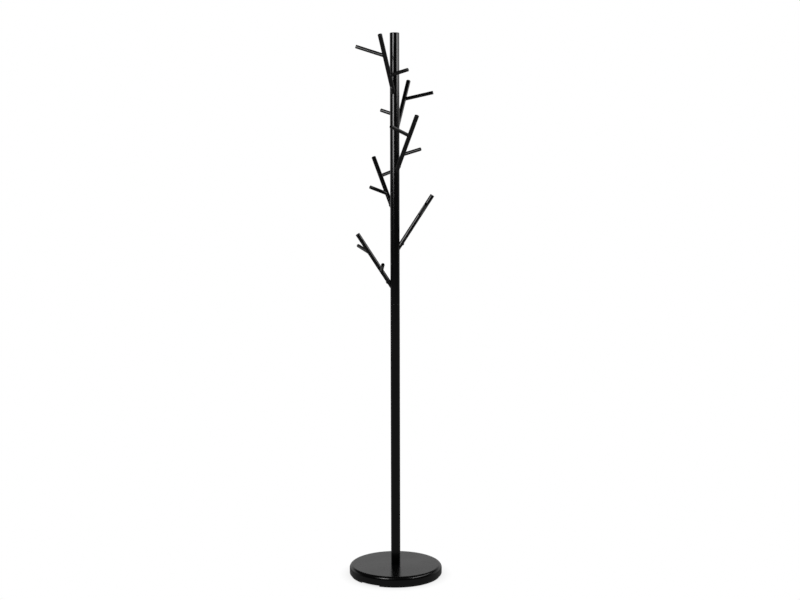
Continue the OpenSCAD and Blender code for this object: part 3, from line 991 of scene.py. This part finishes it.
# %% Button-head screws
# Each rod is held on its peg by one socket screw on the underside. The head is
# a shallow dome with a six-sided socket, so its inner rows follow a hexagon.
screw_points = [v.co.copy() for v in NODES["fixing_screws"].data.vertices]
screw_places = []
for rod in rods.values():
    near = [p for p in screw_points if (p - rod["start"]).length < 3 * POLE_RADIUS]
    middle = sum(near, Vector()) / len(near)
    along = (middle - rod["start"]).dot(rod["direction"])
    on_line = rod["start"] + rod["direction"] * along
    outward = (middle - on_line).normalized()
    screw_places.append((on_line + outward * rod["radius"], outward))
    print(f"screw {along / MM:.1f} mm along its rod, from {len(near)} points")

HEAD_RADIUS, HEAD_HEIGHT, SHANK_RADIUS, SHANK = 4.5 * MM, 2.2 * MM, 2.5 * MM, 8 * MM
SOCKET_HALF, SOCKET_DEPTH, HEAD_STANDOFF = 1.5 * MM, 1.3 * MM, 0.1 * MM
HEAD_RIM, DRILL_POINT, SHANK_BEVEL = 0.35 * MM, 0.3 * MM, 0.5 * MM
MOUTH_RISE, MOUTH_DEPTH, MOUTH_WIDTH = 0.02 * MM, 0.12 * MM, 0.08 * MM
dome_radius = (HEAD_RADIUS**2 + (HEAD_HEIGHT - HEAD_RIM) ** 2) / (2 * (HEAD_HEIGHT - HEAD_RIM))
DOME_STEPS = 9
dome = []
dome_start = SOCKET_HALF * 1.25
for k in range(DOME_STEPS + 1):
    x = dome_start + (HEAD_RADIUS - dome_start) * k / DOME_STEPS
    dome.append(Vector((x, HEAD_HEIGHT - dome_radius + math.sqrt(dome_radius**2 - x**2))))
mouth_height = dome[0].y + MOUTH_RISE
screw_outline = [
    Vector((0, HEAD_HEIGHT - SOCKET_DEPTH - DRILL_POINT)),
    Vector((SOCKET_HALF, HEAD_HEIGHT - SOCKET_DEPTH)),
    Vector((SOCKET_HALF, mouth_height - MOUTH_DEPTH)),
    Vector((SOCKET_HALF + MOUTH_WIDTH, mouth_height)),
    *dome,
    Vector((HEAD_RADIUS, 0)),
    Vector((SHANK_RADIUS, 0)),
    Vector((SHANK_RADIUS, -SHANK + SHANK_BEVEL)),
    Vector((SHANK_RADIUS - SHANK_BEVEL, -SHANK)),
    Vector((0, -SHANK)),
]
for point in screw_outline:
    point.y += HEAD_STANDOFF
screw_mesh = turned_mesh("screw", screw_outline, 48, hexagon_rows=(1, 2, 3))
screws = set_out("branch_screws", screw_mesh, screw_places, screw_black)
stand_for(screws, "black_screw", "fixing_screws")

# %% [markdown]
# ## Feet
# Under the rolled edge lie curved rubber strips with gaps between them. Each is
# one profile that follows an arc, which is what Curve to Mesh is for. The tree
# makes one strip and sets the others round the disc. Where the strips start is
# read from the CAD mesh, by looking for the wide gaps between its points.

# %% Read where the strips lie
foot_low, foot_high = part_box("rubber_feet")
foot_points = np.array([v.co for v in NODES["rubber_feet"].data.vertices])
foot_angles = np.unique(np.round(np.degrees(np.arctan2(foot_points[:, 1], foot_points[:, 0])) % 360, 3))
foot_spaces = np.diff(np.append(foot_angles, foot_angles[0] + 360))
GAP_AT_LEAST = 12
STRIP_EDGE_ROUND = 0.8 * MM
strip_ends = [float(a) for a, space in zip(foot_angles, foot_spaces) if space > GAP_AT_LEAST]
gap_angle = float(foot_spaces[foot_spaces > GAP_AT_LEAST].mean())
foot_radii = np.hypot(foot_points[:, 0], foot_points[:, 1])
FOOT_OUTER, FOOT_INNER = float(foot_radii.max()), float(foot_radii.min())
foot_count = len(strip_ends)
print(
    f"{foot_count} strips with gaps of {gap_angle:.1f} degrees, "
    f"radius {FOOT_INNER / MM:.1f} to {FOOT_OUTER / MM:.1f} mm"
)

# %% The strip tree
strip_tree, f_in, f_out = new_tree(
    "rubber_strips",
    [("Geometry", "NodeSocketGeometry"), ("Count", "NodeSocketInt"), ("Radius", "NodeSocketFloat"),
     ("Width", "NodeSocketFloat"), ("Height", "NodeSocketFloat"), ("Edge Round", "NodeSocketFloat"),
     ("First Angle", "NodeSocketFloat"), ("Arc Angle", "NodeSocketFloat"),
     ("Material", "NodeSocketMaterial")],
    [("Geometry", "NodeSocketGeometry")],
)
path = strip_tree.nodes.new("GeometryNodeCurveArc")
path.mode = "RADIUS"
feed(strip_tree, path, Resolution=72, Radius=f_in.outputs["Radius"],
     Start_Angle=f_in.outputs["First Angle"], Sweep_Angle=f_in.outputs["Arc Angle"])
upright = strip_tree.nodes.new("GeometryNodeSetCurveNormal")
upright.mode = "Z_UP"
feed(strip_tree, upright, Curve=path.outputs["Curve"])
section = strip_tree.nodes.new("GeometryNodeCurvePrimitiveQuadrilateral")
feed(strip_tree, section, Width=f_in.outputs["Width"], Height=f_in.outputs["Height"])
rounded = strip_tree.nodes.new("GeometryNodeFilletCurve")
rounded.mode = "POLY"
feed(strip_tree, rounded, Curve=section.outputs[0], Count=4, Radius=f_in.outputs["Edge Round"])
strip = feed(strip_tree, strip_tree.nodes.new("GeometryNodeCurveToMesh"),
             Curve=upright.outputs[0], Profile_Curve=rounded.outputs[0], Fill_Caps=True)
spots = strip_tree.nodes.new("GeometryNodeMeshLine")
feed(strip_tree, spots, Count=f_in.outputs["Count"], Offset=(0, 0, 0))
spot_angle = calc(strip_tree, "MULTIPLY", strip_tree.nodes.new("GeometryNodeInputIndex").outputs[0], calc(
    strip_tree, "DIVIDE", math.tau, f_in.outputs["Count"]))
spot_turn = feed(strip_tree, strip_tree.nodes.new("ShaderNodeCombineXYZ"), Z=spot_angle)
strips = feed(strip_tree, strip_tree.nodes.new("GeometryNodeInstanceOnPoints"),
              Points=spots.outputs[0], Instance=strip.outputs[0], Rotation=spot_turn.outputs[0])
lift = feed(strip_tree, strip_tree.nodes.new("ShaderNodeCombineXYZ"),
            Z=calc(strip_tree, "MULTIPLY", f_in.outputs["Height"], 0.5))
lifted = feed(strip_tree, strip_tree.nodes.new("GeometryNodeTransform"),
              Geometry=strips.outputs[0], Translation=lift.outputs[0])
end_tree(strip_tree, lifted, f_in, f_out)
print("rubber_strips:", len(strip_tree.nodes), "nodes")

feet = grow(
    "rubber_strip_feet", strip_tree, Count=foot_count,
    Radius=(FOOT_OUTER + FOOT_INNER) / 2, Width=FOOT_OUTER - FOOT_INNER,
    Height=float(foot_high.z - foot_low.z), Edge_Round=STRIP_EDGE_ROUND,
    First_Angle=math.radians(strip_ends[0] + gap_angle),
    Arc_Angle=math.radians(360 / foot_count - gap_angle), Material=foot_rubber,
)
stand_for(feet, "foot_rubber", "rubber_feet")

# %% [markdown]
# ## Parts that keep their CAD shape
# The ballast, the bottom plate, the bolt with its washers and the steel blocks
# inside the tubes are hidden, or show only from below. Their CAD shape is right
# as it stands, so they keep it and only get a real finish.

# %% Put finishes on the CAD parts
kept_finishes = {
    "ballast_disc": ballast_cement, "bottom_plate": plate_enamel,
    "base_bolt": zinc_steel, "base_washer": zinc_steel, "lock_washer": zinc_steel,
    "foot_block": bare_steel, "joint_socket": bare_steel, "joint_spigot": bare_steel,
    "branch_pegs": bare_steel,
}
for node, finish in kept_finishes.items():
    for material_slot in NODES[node].material_slots:
        material_slot.material = finish
print("kept:", ", ".join(kept_finishes))

# %% Print the CAD box
print("cad box   ", [round(x, 4) for v in CAD_BOX for x in v])
